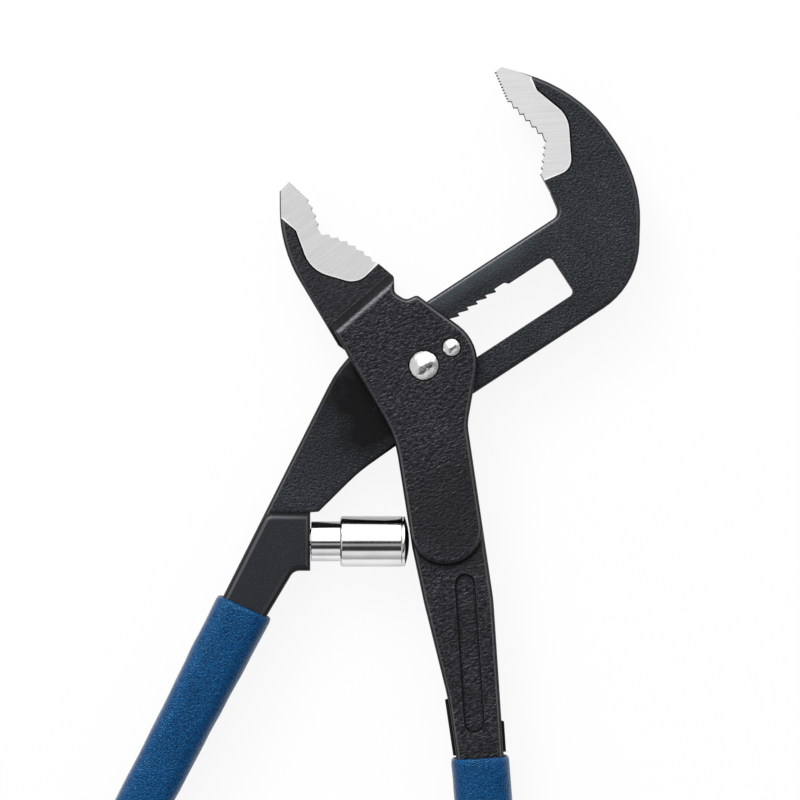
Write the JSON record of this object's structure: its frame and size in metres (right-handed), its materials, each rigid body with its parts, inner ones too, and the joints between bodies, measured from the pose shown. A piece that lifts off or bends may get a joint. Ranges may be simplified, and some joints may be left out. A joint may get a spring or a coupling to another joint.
{
  "type": "water pump pliers",
  "caption": "Self-adjusting water pump pliers with toothed jaws, a box joint that slides along a ratchet slot, a sprung plunger between the handles and dipped blue grips.",
  "frame": {"origin": "pivot axis in the plane of the back cheek, on which the tool lies", "axes": "+X towards the hook jaw's side, +Y from the handles towards the jaws, +Z along the pivot axis, up from the back cheek"},
  "size_m": [0.1466, 0.2699, 0.0165],
  "materials": {
    "black_forging": "black coated forged steel with a fine leathery skin, jaw flats ground bright",
    "chrome": "polished",
    "plain_steel": "satin",
    "blue_vinyl": "dipped vinyl with a fine grain",
    "black_nylon": "smooth"
  },
  "bodies": {
    "slotted_arm": {"slotted_arm": "black_forging", "left_grip": "blue_vinyl", "plunger_guide": "chrome"},
    "slide_block": {"slide_block": "plain_steel"},
    "pivot_arm": {"pivot_arm": "black_forging", "right_grip": "blue_vinyl", "pivot_rivet": "chrome", "stop_rivet": "chrome"},
    "plunger": {"plunger_sleeve": "chrome", "plunger_cap": "black_nylon", "plunger_spring": "plain_steel"}
  },
  "joints": [
    {"name": "jaw_slide", "type": "slide", "parent": "slotted_arm", "child": "slide_block", "axis": [0.8368, 0.5476, 0], "range_m": [0, 0.0285]},
    {"name": "arm_pivot", "type": "hinge", "parent": "slide_block", "child": "pivot_arm", "pos_m": [0, 0, 0], "axis": [0, 0, -1], "range_deg": [0, 27]},
    {"name": "plunger_slide", "type": "slide", "parent": "slotted_arm", "child": "plunger", "axis": [1, 0, 0], "range_m": [-0.0065, 0], "stiffness_N_per_m": 1500, "springref_m": 0.004, "deforming": ["plunger_spring"]}
  ],
  "couplings": [
    {"joint": "arm_pivot", "follows": "jaw_slide", "rad_per_m": 16.444}
  ]
}
